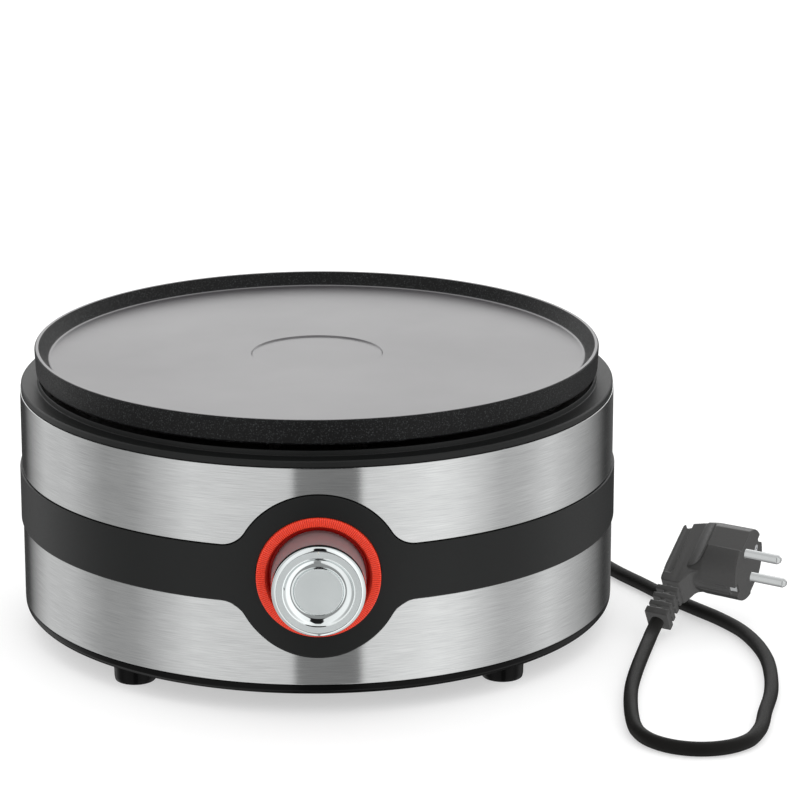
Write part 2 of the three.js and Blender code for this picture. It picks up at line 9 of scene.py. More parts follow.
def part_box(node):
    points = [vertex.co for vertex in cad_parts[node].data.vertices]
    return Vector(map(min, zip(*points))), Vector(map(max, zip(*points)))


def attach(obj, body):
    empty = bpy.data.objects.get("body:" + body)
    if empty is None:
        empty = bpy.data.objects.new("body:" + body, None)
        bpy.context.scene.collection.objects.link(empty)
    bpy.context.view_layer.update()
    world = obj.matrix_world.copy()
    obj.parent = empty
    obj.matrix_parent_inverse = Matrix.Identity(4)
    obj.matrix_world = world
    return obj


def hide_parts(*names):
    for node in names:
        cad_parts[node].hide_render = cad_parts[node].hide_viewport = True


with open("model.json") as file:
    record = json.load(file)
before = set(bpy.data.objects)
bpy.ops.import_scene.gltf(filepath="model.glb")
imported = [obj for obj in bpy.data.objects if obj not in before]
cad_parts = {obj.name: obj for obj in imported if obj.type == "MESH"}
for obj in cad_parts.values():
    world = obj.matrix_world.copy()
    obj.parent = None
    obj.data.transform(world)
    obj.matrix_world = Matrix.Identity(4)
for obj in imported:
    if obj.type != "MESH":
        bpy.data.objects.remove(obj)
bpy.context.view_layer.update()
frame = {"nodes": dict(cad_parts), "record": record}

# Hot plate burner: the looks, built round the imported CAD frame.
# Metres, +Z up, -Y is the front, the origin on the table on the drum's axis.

nodes = frame["nodes"]
BODY = "hot_plate"
KNOB = "knob"
MM = 0.001


def top_of(node):
    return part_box(node)[1].z


def bottom_of(node):
    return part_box(node)[0].z


def radius_of(node):
    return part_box(node)[1].x


# ------------------------------------------------------------ sizes, read from the frame

DRUM_R = radius_of("upper_steel_band")
BELT_R = radius_of("waist_core")
PLATE_TOP = top_of("hotplate")
knob_low, knob_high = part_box("knob_shell")
KNOB_Z = (knob_low.z + knob_high.z) / 2
GLAND_X = (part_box("cord_gland")[0].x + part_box("cord_gland")[1].x) / 2
GLAND_Z = (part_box("cord_gland")[0].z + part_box("cord_gland")[1].z) / 2

COOK_Z = PLATE_TOP - 6.5 * MM
PANEL_R = 40.3 * MM
PANEL_FILLET = 14 * MM
SHEET = 0.8 * MM
RIBS = 180.0  # round the light ring

# ------------------------------------------------------------ camera


def add_camera():
    """Stands in front and a little above, as far away as a short telephoto lens stands."""
    data = bpy.data.cameras.new("camera")
    data.sensor_width = 36
    data.lens = 169.3
    data.clip_end = 50
    camera = bpy.data.objects.new("camera", data)
    bpy.context.scene.collection.objects.link(camera)
    away, pitch, yaw = 1.910, math.radians(16.23), math.radians(1.31)
    target_z = 0.11325
    camera.location = (0, -away * math.cos(pitch), target_z + away * math.sin(pitch))
    camera.rotation_euler = (math.pi / 2 - pitch, 0, -yaw)
    bpy.context.scene.camera = camera


add_camera()

# ------------------------------------------------------------ materials


class Nodes:
    """A short way to write a material's nodes."""

    def __init__(self, name, **values):
        self.material = bpy.data.materials.new(name)
        self.material.use_nodes = True
        self.tree = self.material.node_tree
        self.shader = self.tree.nodes["Principled BSDF"]
        for socket, value in values.items():
            self.shader.inputs[socket.replace("_", " ")].default_value = value

    def node(self, kind, settings=None, **inputs):
        made = self.tree.nodes.new("ShaderNode" + kind)
        for key, value in (settings or {}).items():
            setattr(made, key, value)
        for key, value in inputs.items():
            self.plug(value, made.inputs[int(key[1:]) if key[0] == "i" and key[1:].isdigit()
                                         else key.replace("_", " ")])
        return made

    def plug(self, value, socket):
        if isinstance(value, bpy.types.NodeSocket):
            self.tree.links.new(value, socket)
        else:
            socket.default_value = value

    def place(self):
        """Position on the piece, in metres."""
        return self.node("TexCoord").outputs["Object"]

    def math(self, operation, a, b=0.0):
        return self.node("Math", {"operation": operation}, i0=a, i1=b).outputs[0]

    def round_the_drum(self, along, across):
        """(arc length, height) of a point on an upright drum, each times its scale."""
        split = self.node("SeparateXYZ", i0=self.place()).outputs
        turn = self.math("ARCTAN2", split["X"], self.math("MULTIPLY", split["Y"], -1.0))
        arc = self.math("MULTIPLY", turn, DRUM_R * along)
        high = self.math("MULTIPLY", split["Z"], across)
        return self.node("CombineXYZ", X=arc, Y=high).outputs[0]

    def noise(self, at, scale, detail=2.0, roughness=0.5):
        made = self.node("TexNoise", Vector=at, Scale=scale, Detail=detail, Roughness=roughness)
        return made.outputs["Fac"]

    def scaled(self, value, low, high, from_low=0.0, from_high=1.0):
        made = self.node("MapRange", Value=value, From_Min=from_low, From_Max=from_high,
                         To_Min=low, To_Max=high)
        return made.outputs["Result"]

    def mixed(self, share, dark, light):
        made = self.node("Mix", {"data_type": "RGBA"}, Factor=share)
        made.inputs["A"].default_value = (*dark, 1)
        made.inputs["B"].default_value = (*light, 1)
        return made.outputs["Result"]

    def bump(self, height, distance, strength=1.0, under=None):
        made = self.node("Bump", Height=height, Distance=distance, Strength=strength)
        if under is not None:
            self.plug(under, made.inputs["Normal"])
        return made.outputs["Normal"]

    def set(self, **links):
        for socket, value in links.items():
            self.plug(value, self.shader.inputs[socket.replace("_", " ")])
        return self.material


def brushed_steel():
    """Stainless sheet brushed along the band: fine streaks that run round the drum."""
    n = Nodes("brushed_steel", Metallic=1.0, Anisotropic=1.0, Anisotropic_Rotation=0.25)
    streaks = n.noise(n.round_the_drum(60, 2300), 1.0, 3, 0.6)
    cloud = n.noise(n.round_the_drum(14, 90), 1.0, 3, 0.6)
    both = n.math("ADD", n.math("MULTIPLY", streaks, 0.75), n.math("MULTIPLY", cloud, 0.25))
    colour = n.mixed(n.scaled(both, 0, 1, 0.3, 0.7), (0.335, 0.34, 0.34), (0.455, 0.462, 0.46))
    rough = n.scaled(streaks, 0.13, 0.19, 0.3, 0.7)
    tangent = n.node("Tangent", {"direction_type": "RADIAL", "axis": "Z"}).outputs[0]
    return n.set(Base_Color=colour, Roughness=rough, Tangent=tangent,
                 Normal=n.bump(streaks, 0.00001))


def plain_steel():
    n = Nodes("plain_steel", Metallic=1.0)
    grain = n.noise(n.place(), 900, 3)
    return n.set(Base_Color=n.mixed(grain, (0.42, 0.43, 0.44), (0.58, 0.59, 0.6)),
                 Roughness=n.scaled(grain, 0.32, 0.5))


def hot_steel():
    """Blackened steel: the parts under the hot plate, and the tie rods."""
    n = Nodes("hot_steel", Metallic=1.0)
    at = n.place()
    soot = n.noise(at, 45, 4, 0.6)
    return n.set(Base_Color=n.mixed(soot, (0.028, 0.025, 0.023), (0.075, 0.07, 0.066)),
                 Roughness=n.scaled(n.noise(at, 700, 3), 0.45, 0.7))


def plate_coat():
    """Non-stick coat on the casting's wall: near black with fine pale flecks."""
    n = Nodes("plate_coat", IOR=1.5, Specular_IOR_Level=0.15)
    at = n.place()
    cells = n.node("TexVoronoi", Vector=at, Scale=2300.0)
    fleck = n.node("SeparateColor", i0=cells.outputs["Color"]).outputs[0]
    bright = n.scaled(fleck, 0, 1, 0.8, 1.0)
    grain = n.noise(at, 1400, 3, 0.7)
    return n.set(Base_Color=n.mixed(bright, (0.002, 0.0021, 0.0023), (0.03, 0.032, 0.033)),
                 Roughness=n.scaled(grain, 0.38, 0.6, 0.3, 0.7),
                 Normal=n.bump(n.math("ADD", grain, bright), 0.00004))


def cooking_coat():
    """The same coat ground smooth on the cooking surface: a soft sheen and faint turning marks."""
    n = Nodes("cooking_coat", IOR=1.9)
    at = n.place()
    split = n.node("SeparateXYZ", i0=at).outputs
    flat = n.node("CombineXYZ", X=split["X"], Y=split["Y"]).outputs[0]
    out = n.node("VectorMath", {"operation": "LENGTH"}, i0=flat).outputs["Value"]
    rings = n.noise(n.node("CombineXYZ", X=n.math("MULTIPLY", out, 900.0)).outputs[0], 1.0, 2)
    cloud = n.noise(at, 9, 4, 0.6)
    fine = n.noise(at, 1500, 2)
    return n.set(Base_Color=n.mixed(cloud, (0.02, 0.0175, 0.021), (0.034, 0.031, 0.035)),
                 Roughness=n.scaled(cloud, 0.3, 0.36, 0.3, 0.7),
                 Normal=n.bump(rings, 0.000012, 1.0, n.bump(fine, 0.00001)))


def satin_black():
    """Satin moulded plastic with a fine spark-eroded grain."""
    n = Nodes("satin_black", IOR=1.46, Specular_IOR_Level=0.22)
    at = n.place()
    grain = n.noise(at, 2200, 3, 0.6)
    cloud = n.noise(at, 30, 2)
    return n.set(Base_Color=n.mixed(cloud, (0.0048, 0.0053, 0.0052), (0.0066, 0.0072, 0.007)),
                 Roughness=n.scaled(grain, 0.38, 0.52, 0.3, 0.7),
                 Normal=n.bump(grain, 0.00002))


def gloss_black():
    n = Nodes("gloss_black", IOR=1.5, Specular_IOR_Level=0.06)
    at = n.place()
    wave = n.noise(at, 60, 2)
    return n.set(Base_Color=n.mixed(wave, (0.0015, 0.0015, 0.0015), (0.0025, 0.0025, 0.0025)),
                 Roughness=n.scaled(n.noise(at, 500, 3), 0.12, 0.22),
                 Normal=n.bump(wave, 0.00005))


def pvc(name, dark, light, shine, rough):
    """PVC of the cord and plug: dull, faintly brown black with a fine orange-peel."""
    n = Nodes(name, IOR=1.48, Specular_IOR_Level=shine)
    at = n.place()
    peel = n.noise(at, 1300, 3, 0.6)
    cloud = n.noise(at, 45, 3)
    return n.set(Base_Color=n.mixed(cloud, dark, light),
                 Roughness=n.scaled(peel, *rough, 0.3, 0.7), Normal=n.bump(peel, 0.00004))


def polished(name, dark, light, rough):
    """Plated metal with faint smears."""
    n = Nodes(name, Metallic=1.0)
    smear = n.noise(n.place(), 70, 3)
    return n.set(Base_Color=n.mixed(smear, dark, light), Roughness=n.scaled(smear, *rough))


def knob_side():
    """The knob's wall: metal brushed round its own axis."""
    n = Nodes("knob_side", Metallic=0.6)
    split = n.node("SeparateXYZ", i0=n.place()).outputs
    up = n.math("SUBTRACT", split["Z"], KNOB_Z)
    turn = n.math("MULTIPLY", n.math("ARCTAN2", split["X"], up), 4.0)
    along = n.math("MULTIPLY", split["Y"], 2600.0)
    lines = n.noise(n.node("CombineXYZ", X=turn, Y=along).outputs[0], 1.0, 3, 0.6)
    return n.set(Base_Color=n.mixed(lines, (0.3, 0.29, 0.3), (0.42, 0.41, 0.42)),
                 Roughness=n.scaled(lines, 0.34, 0.48, 0.3, 0.7), Normal=n.bump(lines, 0.00003))


def lamp_red():
    """Clear red plastic, lit a little from behind. Its colour, and so its glow, is darker on the
    cone towards the knob, paler on the outer face and palest on the rib crests: a painted
    highlight along the ribs.
    """
    n = Nodes("lamp_red", IOR=1.5, Emission_Strength=0.07, Specular_IOR_Level=0.25)
    split = n.node("SeparateXYZ", i0=n.place()).outputs
    up = n.math("SUBTRACT", split["Z"], KNOB_Z)
    spoke = n.node("CombineXYZ", X=split["X"], Y=up).outputs[0]
    out = n.node("VectorMath", {"operation": "LENGTH"}, i0=spoke).outputs["Value"]
    share = n.scaled(out, 0, 1, 24.2 * MM, 25.6 * MM)
    # Painted highlight: each rib's crest gets a lighter colour and a stronger glow.
    wave = n.math("COSINE", n.math("MULTIPLY", n.math("ARCTAN2", split["X"], up), RIBS))
    share = n.math("MULTIPLY", share, n.scaled(wave, 0.3, 1.0, -1.0, 0.6))
    colour = n.mixed(share, (0.42, 0.007, 0.004), (0.87, 0.062, 0.026))
    grain = n.noise(n.place(), 600, 2)
    return n.set(Base_Color=colour, Emission_Color=colour, Roughness=n.scaled(grain, 0.25, 0.4))


def plain(name, dark, light, metallic=0.0, rough=(0.35, 0.5), scale=400):
    """A material for a piece inside: two close shades, uneven gloss and a fine grain."""
    n = Nodes(name, Metallic=metallic)
    grain = n.noise(n.place(), scale, 3)
    return n.set(Base_Color=n.mixed(grain, dark, light), Roughness=n.scaled(grain, *rough),
                 Normal=n.bump(grain, 0.00002))


MATERIALS = {
    "brushed_steel": brushed_steel(),
    "plain_steel": plain_steel(),
    "plate": plate_coat(),
    "satin_black": satin_black(),
    "gloss_black": gloss_black(),
    "cord_black": pvc("cord_black", (0.004, 0.0037, 0.0033), (0.0065, 0.0061, 0.0055), 0.1,
                      (0.45, 0.6)),
    "chrome": polished("chrome", (0.4, 0.42, 0.42), (0.46, 0.48, 0.48), (0.08, 0.14)),
    "lamp_red": lamp_red(),
    "brass": plain("brass", (0.55, 0.4, 0.16), (0.68, 0.52, 0.24), 1.0, (0.25, 0.4)),
    "copper": plain("copper", (0.5, 0.24, 0.12), (0.66, 0.34, 0.2), 1.0, (0.28, 0.42)),
    "ceramic": plain("ceramic", (0.66, 0.64, 0.58), (0.76, 0.74, 0.68), 0.0, (0.5, 0.7), 900),
    "natural_plastic": plain("natural_plastic", (0.56, 0.54, 0.48), (0.64, 0.62, 0.56)),
    "wire_brown": plain("wire_brown", (0.07, 0.028, 0.014), (0.1, 0.045, 0.024)),
    "wire_blue": plain("wire_blue", (0.015, 0.06, 0.3), (0.03, 0.09, 0.38)),
    "wire_green": plain("wire_green", (0.09, 0.28, 0.02), (0.14, 0.36, 0.04)),
    "wire_white": plain("wire_white", (0.6, 0.6, 0.58), (0.7, 0.7, 0.68)),
}
COOKING = cooking_coat()
PIN_CHROME = polished("pin_chrome", (0.34, 0.35, 0.35), (0.42, 0.43, 0.43), (0.1, 0.2))
PLUG_BLACK = pvc("plug_black", (0.0085, 0.008, 0.0074), (0.0145, 0.0138, 0.0128), 0.7,
                 (0.36, 0.5))
KNOB_SIDE = knob_side()
KNOB_BRIGHT = polished("knob_bright", (0.54, 0.57, 0.57), (0.6, 0.63, 0.63), (0.03, 0.07))
# The knob's flat disc and flat ring get a much paler copy of its chrome: painted reflection that
# makes the flat faces brighter than the curved ones.
KNOB_FLAT_PAINTED_REFLECTION = polished("knob_flat_painted_reflection", (0.84, 0.89, 0.89), (0.88, 0.93, 0.93), (0.28, 0.34))
HOT_STEEL = hot_steel()
HOT_PIECES = ("heat_shield", "heating_element", "element_clamp", "plate_standoff",
              "standoff_nut", "tie_rod")

for entry in frame["record"]["subparts"]:
    data = nodes[entry["node"]].data
    data.materials.clear()
    hot = entry["node"].startswith(HOT_PIECES)
    data.materials.append(HOT_STEEL if hot else MATERIALS[entry["material_slot"]])

# ------------------------------------------------------------ mesh helpers


def piece(name, mesh, slot, body=BODY, replaces=(), place=None, sharp=32):
    """A shown object with its material, riding on a body."""
    obj = bpy.data.objects.new(name, mesh)
    bpy.context.scene.collection.objects.link(obj)
    if not mesh.materials:
        mesh.materials.append(MATERIALS[slot])
    if place is not None:
        mesh.transform(place)
    mesh.shade_smooth()
    mesh.set_sharp_from_angle(angle=math.radians(sharp))
    obj.modifiers.new("even_normals", "WEIGHTED_NORMAL").keep_sharp = True
    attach(obj, body)
    if replaces:
        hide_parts(*replaces)
    return obj


def rounded(corners, closed=False, steps=4):
    """The outline through the corners; a corner's third value is the radius it is rounded to."""
    out = []
    count = len(corners)
    for i, corner in enumerate(corners):
        here = Vector(corner[:2])
        radius = corner[2] if len(corner) > 2 else 0
        if not radius or (not closed and i in (0, count - 1)):
            out.append(here)
            continue
        before = Vector(corners[i - 1][:2]) - here
        after = Vector(corners[(i + 1) % count][:2]) - here
        half = before.angle(after) / 2
        back = min(radius / math.tan(half), 0.48 * before.length, 0.48 * after.length)
        radius = back * math.tan(half)
        centre = here + (before.normalized() + after.normalized()).normalized() * (
            radius / math.sin(half))
        first = here + before.normalized() * back - centre
        last = here + after.normalized() * back - centre
        turn = first.angle_signed(last)
        for k in range(steps + 1):
            out.append(centre + first @ Matrix.Rotation(turn * k / steps, 2))
    return out


def turned(name, corners, segments=160, closed=False, steps=4):
    """A [radius, height] outline turned about +Z. It starts and ends on the axis, or is closed."""
    outline = rounded(corners, closed, steps)
    mesh = bmesh.new()
    rows = []
    for r, z in outline:
        if r < 1e-7:
            rows.append([mesh.verts.new((0, 0, z))] * segments)
            continue
        turns = [2 * math.pi * k / segments for k in range(segments)]
        rows.append([mesh.verts.new((r * math.cos(t), r * math.sin(t), z)) for t in turns])
    pairs = list(zip(rows, rows[1:]))
    if closed:
        pairs.append((rows[-1], rows[0]))
    for a, b in pairs:
        for k in range(segments):
            loop = [a[k], a[(k + 1) % segments], b[(k + 1) % segments], b[k]]
            unique = list(dict.fromkeys(loop))
            if len(unique) > 2:
                mesh.faces.new(unique)
    return finished(name, mesh)


def finished(name, mesh):
    bmesh.ops.recalc_face_normals(mesh, faces=mesh.faces)
    data = bpy.data.meshes.new(name)
    mesh.to_mesh(data)
    mesh.free()
    return data


def mm(corners):
    return [[value * MM for value in corner] for corner in corners]


FACING_FRONT = Matrix.Translation((0, 0, KNOB_Z)) @ Matrix.Rotation(math.pi / 2, 4, "X")


def cut_with(obj_mesh, tool_mesh, operation="DIFFERENCE"):
    """The first mesh cut by, or joined to, the second."""
    first = bpy.data.objects.new("cut_first", obj_mesh)
    second = bpy.data.objects.new("cut_second", tool_mesh)
    for obj in (first, second):
        bpy.context.scene.collection.objects.link(obj)
    modifier = first.modifiers.new("cut", "BOOLEAN")
    modifier.operation = operation
    modifier.solver = "EXACT"
    modifier.object = second
    result = bpy.data.meshes.new_from_object(
        first.evaluated_get(bpy.context.evaluated_depsgraph_get()))
    for obj in (first, second):
        bpy.data.objects.remove(obj)
    return result


# ------------------------------------------------------------ mains cord, coil and plug

CORD_D = 7 * MM
ON_TABLE = 3.6
COIL_R = 36
COIL_X, COIL_Y = GLAND_X / MM + COIL_R, 204
COIL_TURNS = 2.5
PLUG_AT = (Matrix.Translation((0.2185, -0.028, 0.0328))
           @ Matrix.Rotation(math.radians(-28), 4, "Z")
           @ Matrix.Rotation(math.radians(2.6), 4, "Y")
           @ Matrix.Rotation(math.radians(34), 4, "X"))
TAIL_X = -33
TAIL_END = 45


def on_tail(far):
    return tuple(PLUG_AT @ Vector((TAIL_X * MM, -far * MM, 0)) / MM)


def coil_points():
    count = round(COIL_TURNS * 16)
    points = []
    for k in range(count + 1):
        share = k / count
        turn = math.pi * (1 - 2 * COIL_TURNS * share)
        r = COIL_R + 0.5 * math.sin(7.3 * share * math.pi)
        points.append((COIL_X + r * math.cos(turn), COIL_Y + r * math.sin(turn),
                       23 - 17.7 * share))
    return points


def cord_route():
    lead = [(30, 152, 27), (30, 162, 27), (30, 175, 27), (30, 189, 25.4)]
    bend = [(178 + 29 * math.cos(math.radians(turn)),
             -177.6 + 29 * math.sin(math.radians(turn)), ON_TABLE)
            for turn in (-14, -40, -66, -92, -118, -144, -170)]
    lying = [(112, 155), (125, 126), (137, 98), (148, 70), (158, 48), (169.5, 28), (181, 7.5),
             (192.5, -9.5), (205, -28), (213.5, -45), (218.3, -62), (221.3, -84), (220.8, -110),
             (218, -134), (212.5, -158)]
    back = [(148.6, -176), (148.4, -164), (149.2, -146), (151.2, -126), (154.7, -106),
            (159.2, -85), (162.4, -71)]
    route = [(101.9, 192, 4.9), (103.8, 178, 4.1), *((x, y, ON_TABLE) for x, y in lying), *bend,
             *((x, y, ON_TABLE) for x, y in back), (164.6, -61.6, 3.6),
             (165.8, -57.1, 3.95), (167.2, -52.7, 5), (168.9, -48.7, 6.7),
             on_tail(TAIL_END + 0.3), on_tail(TAIL_END - 7)]
    return [Vector(p) * MM for p in [*lead, *coil_points(), *route]]


def smooth_curve(name, points, diameter):
    """A round cord through the points, with even bends between them."""
    data = bpy.data.curves.new(name, "CURVE")
    data.dimensions = "3D"
    data.bevel_depth = diameter / 2
    data.bevel_resolution = 6
    data.resolution_u = 6
    data.use_fill_caps = True
    spline = data.splines.new("BEZIER")
    spline.bezier_points.add(len(points) - 1)
    for i, knot in enumerate(spline.bezier_points):
        before = points[max(i - 1, 0)]
        after = points[min(i + 1, len(points) - 1)]
        here = points[i]
        back, on = (here - before).length, (after - here).length
        way = Vector(after - before)
        if back and on:
            way = (here - before) / back * on + (after - here) / on * back
        way.normalize()
        knot.handle_left_type = knot.handle_right_type = "FREE"
        knot.co = here
        knot.handle_left = here - way * back / 3
        knot.handle_right = here + way * on / 3
    return data


def add_cord():
    data = smooth_curve("mains_cord", cord_route(), CORD_D)
    data.materials.append(MATERIALS["cord_black"])
    cord = bpy.data.objects.new("mains_cord", data)
    bpy.context.scene.collection.objects.link(cord)
    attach(cord, BODY)
    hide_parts("cord_lead", "cord_coil", "power_cord")
    return cord


cord = add_cord()

# ------------------------------------------------------------ hot top


def paint(mesh, material, wanted):
    """Gives the faces whose middle passes the test a second material."""
    mesh.materials.append(material)
    index = len(mesh.materials) - 1
    for face in mesh.polygons:
        if wanted(face.center):
            face.material_index = index


def add_hotplate():
    """A cast plate with a raised rim, a shallow disc in its middle and a groove below."""
    mesh = turned("hotplate", mm([
        (0, 133.4), (84.3, 133.4, 0.4), (84.3, 136, 1.5), (91.7, 136, 1.5), (91.7, 133.4, 0.4),
        (136, 133.4, 0.4), (136.6, 132.3, 0.4), (141, 132.3, 0.7), (141.75, 133.3, 0.8),
        (142.3, 144.2, 1), (141.55, 144.9, 0.5),
        (140.3, 144.9, 0.3), (139.75, 144.3, 0.4), (135.7, 139, 2), (134.6, 138.4, 1.2),
        (33.3, 138.4, 0.25), (32.75, 137.7, 0.3), (0, 137.7)]), 288, steps=5)
    mesh.materials.append(MATERIALS["plate"])
    inside = 135.8 * MM
    foot = COOK_Z + 0.35 * MM

    def worn(p):
        on_top = p.z > PLATE_TOP - 0.12 * MM
        return on_top or (COOK_Z - MM < p.z < foot and math.hypot(p.x, p.y) < inside)

    paint(mesh, COOKING, worn)
    piece("hotplate_casting", mesh, "plate", replaces=["hotplate"], sharp=40)


def add_collar():
    mesh = turned("collar", mm([
        (146.4, 112, 0.2), (148.9, 112, 0.2), (148.9, 123.8, 0.2), (149.5, 123.8, 0.25),
        (149.5, 126.2, 0.5), (148.8, 126.9, 0.5), (141.3, 126.9, 0.4), (141, 129.5, 0.35),
        (139.8, 129.5, 0.35), (139.6, 123.8, 0.4), (146.4, 123.8, 0.4)]), 288, closed=True)
    piece("collar", mesh, "satin_black", replaces=["collar_ring"])


add_hotplate()
add_collar()

# ------------------------------------------------------------ drum: steel bands, waist and panel


def opening_edge(x, reach, fillet, edge):
    """Half the height of the belt and panel at a sideways distance from the panel's middle."""
    x = abs(x)
    level = edge + fillet
    middle = math.sqrt((reach + fillet) ** 2 - level ** 2)
    if x >= middle:
        return edge
    if x > middle * reach / (reach + fillet):
        return level - math.sqrt(fillet ** 2 - (middle - x) ** 2)
    return math.sqrt(reach ** 2 - x ** 2)


def front_turns():
    """Turns round the drum from the front, close together where the panel's edge passes."""
    half = [0.3 * k for k in range(1, 81)] + [24 + 1.3 * k for k in range(1, 120)]
    half = [turn for turn in half if turn < 179.6] + [179.6, 179.85]
    return [0, *half, 180, *(-turn for turn in reversed(half))]


def drum_wall(name, section):
    """A wall round the drum; section(turn, x_at) gives the closed row of (radius, height).

    x_at gives the sideways distance from the panel at the front; the back half has no panel.
    """
    mesh = bmesh.new()
    columns = []
    for turn in front_turns():
        t = math.radians(turn)
        row = section(turn, lambda r, t=min(abs(t), math.pi / 2): r * math.sin(t))
        columns.append([mesh.verts.new((r * math.sin(t), -r * math.cos(t), z)) for r, z in row])
    for a, b in zip(columns, columns[1:] + columns[:1]):
        for i in range(len(a)):
            j = (i + 1) % len(a)
            mesh.faces.new((a[i], b[i], b[j], a[j]))
    return finished(name, mesh)


BELT_Z = 70.1 * MM
STEEL_EDGE = 13.9 * MM
CORE_EDGE = 13.6 * MM


def add_steel_band(name, node, upper):
    """One sheet band, its cut edge rolled slightly inwards and its ends lapped at the back."""
    low, high = bottom_of(node), top_of(node)
    roll = 0.3 * MM
    side = 1 if upper else -1

    def section(turn, x_at):
        lap = 0.25 * MM if abs(turn) in (179.85, 180) else 0
        out, inner = DRUM_R - lap, DRUM_R - SHEET
        wide = dict(reach=PANEL_R + 0.3 * MM, fillet=PANEL_FILLET - 0.3 * MM, edge=STEEL_EDGE)
        cut = BELT_Z + side * opening_edge(x_at(out), **wide)
        back = BELT_Z + side * opening_edge(x_at(inner), **wide)
        far = high if upper else low
        return [(out, cut + side * roll), (out, far - side * roll),
                (out - 0.3 * roll, far - side * 0.3 * roll), (out - roll, far),
                (inner, far), (inner, back),
                (out - roll, cut), (out - 0.3 * roll, cut + side * 0.3 * roll)]

    mesh = drum_wall(name, section)
    piece(name, mesh, "brushed_steel", replaces=[node], sharp=12)


def add_waist():
    """The black belt and the round control panel, one moulding, proud of the steel."""
    out, inner, edge = BELT_R, BELT_R - 5.1 * MM, 0.5 * MM

    def section(turn, x_at):
        size = dict(reach=PANEL_R, fillet=PANEL_FILLET, edge=CORE_EDGE)
        front = opening_edge(x_at(out), **size)
        back = opening_edge(x_at(inner), **size)
        row = [(out, front - edge), (out - 0.12 * edge, front - 0.5 * edge),
               (out - 0.5 * edge, front - 0.12 * edge), (out - edge, front), (inner, back)]
        upper = [(r, BELT_Z + h) for r, h in row]
        lower = [(r, BELT_Z - h) for r, h in reversed(row)]
        middle = [(out, BELT_Z + (front - edge) * k / 4) for k in range(-3, 4)]
        return upper + lower + middle

    mesh = drum_wall("waist", section)
    hole = turned("hole", mm([(0, 130), (29.9, 130), (29.9, 160), (0, 160)]), 240)
    hole.transform(FACING_FRONT)
    mesh = cut_with(mesh, hole)
    piece("waist_and_panel", mesh, "satin_black", replaces=["waist_core"], sharp=12)


def add_base():
    mesh = turned("base", mm([
        (0, 9), (100, 9, 1), (100.8, 9.5, 0.5), (112.2, 9.5, 0.5), (113, 9, 1),
        (143.8, 9, 4), (148, 10.4, 3), (149.8, 12.6, 2), (150, 15.3, 0.3), (148.9, 15.3, 0.1),
        (148.9, 24, 0.3), (146.4, 24, 0.3), (146.4, 12, 0.5), (0, 12)]), 288)
    for turn in (90, 210, 330):
        bore = turned("bore", mm([(0, 8), (3.6, 8), (3.6, 10.8), (0, 10.8)]), 32)
        t = math.radians(turn)
        bore.transform(Matrix.Translation((0.1425 * math.cos(t), 0.1425 * math.sin(t), 0)))
        mesh = cut_with(mesh, bore)
    piece("base_tray", mesh, "gloss_black", replaces=["base_plate"])


def add_foot(number):
    node = f"foot_{number}"
    low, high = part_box(node)
    r = (high.x - low.x) / 2 / MM
    top = high.z / MM
    mesh = turned(node, mm([
        (2.2, 4, 0.2), (5.4, 4, 0.3), (5.4, 0, 0.3), (r - 0.6, 0, 0.8), (r - 0.2, 2, 1),
        (r, top - 0.6, 0.8), (r - 0.6, top, 0.3), (2.2, top)]), 64, closed=True)
    middle = (low + high) / 2
    place = Matrix.Translation((middle.x, middle.y, 0))
    piece(f"rubber_foot_{number}", mesh, "gloss_black", replaces=[node], place=place)

    screw = f"foot_screw_{number}"
    low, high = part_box(screw)
    head = (high.x - low.x) / 2 / MM
    mesh = turned(screw, mm([
        (0, low.z / MM), (head - 1.6, low.z / MM, 1), (head, low.z / MM + 1.5, 0.8),
        (head, low.z / MM + 2.2, 0.3), (1.6, low.z / MM + 2.2, 0.1), (1.6, high.z / MM, 0.4),
        (0, high.z / MM)]), 32)
    for turn in (45, 135):
        slot = turned("slot", mm([(0, -1), (0.62, -1), (0.62, 1.6, 0.4), (0, 1.6)]), 4)
        slot.transform(Matrix.Translation((0, 0, low.z)) @ Matrix.Rotation(
            math.radians(turn), 4, "Z") @ Matrix.Diagonal((3.2, 0.9, 1, 1)) @ Matrix.Rotation(
            math.radians(45), 4, "Z"))
        mesh = cut_with(mesh, slot)
    piece(f"cross_screw_{number}", mesh, "plain_steel", replaces=[screw], place=place)


add_steel_band("upper_band", "upper_steel_band", True)
add_steel_band("lower_band", "lower_steel_band", False)
add_waist()
add_base()
for foot in (1, 2, 3, 4):
    add_foot(foot)

# ------------------------------------------------------------ control: light ring and knob


def add_light_ring():
    """The lit ring: a flat, finely ribbed outer band and a smooth cone down to the knob."""
    mesh = turned("light_ring", mm([
        (6, 144, 0.2), (29.6, 144, 0.2), (29.6, 151.6, 0.3), (29.2, 152.05, 0.3), (28.2, 152.05),
        (26.2, 152.05), (25.4, 151.95, 0.3), (24, 148.8, 0.4), (23.4, 146, 0.3), (6, 146, 0.2)]),
        1440, closed=True, steps=3)
    rib = 0.3 * MM
    for v in mesh.vertices:
        out = math.hypot(v.co.x, v.co.y)
        if v.co.z > 151.5 * MM and 25.2 * MM < out < 29.4 * MM:
            turn = math.atan2(v.co.y, v.co.x)
            v.co.z += rib * (math.cos(RIBS * turn) - 1) / 2 + 0.1 * MM
    mesh.transform(FACING_FRONT)
    piece("light_ring_lens", mesh, "lamp_red", replaces=["light_ring"], sharp=50)


